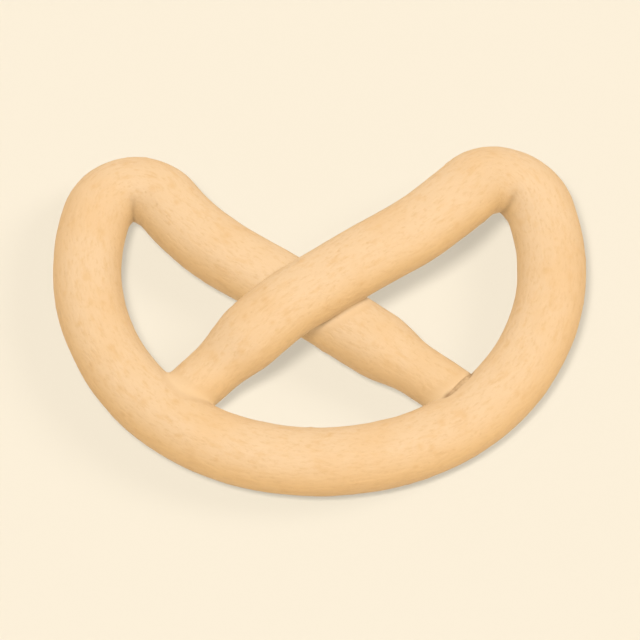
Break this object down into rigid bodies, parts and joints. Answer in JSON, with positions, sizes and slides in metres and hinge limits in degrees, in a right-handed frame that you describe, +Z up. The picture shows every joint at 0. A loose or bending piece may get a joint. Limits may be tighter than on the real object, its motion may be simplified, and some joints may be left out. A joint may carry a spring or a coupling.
{
  "type": "soft pretzel",
  "caption": "Soft pretzel: a rope of dough bent into a wide loop, its arms crossed over each other and pressed into the belly, baked to a plain pale crust.",
  "frame": {"origin": "on the tray or table, under the middle of the bounding box", "axes": "+X along the width, from the left lobe to the right lobe; +Y from the belly to the two lobes; +Z up"},
  "size_m": [0.1602, 0.1142, 0.0338],
  "materials": {
    "crust": "smooth baked bread crust, pale golden tan, between matte and satin, with no salt and no split"
  },
  "bodies": {
    "root": {"pretzel": "crust"}
  },
  "joints": []
}
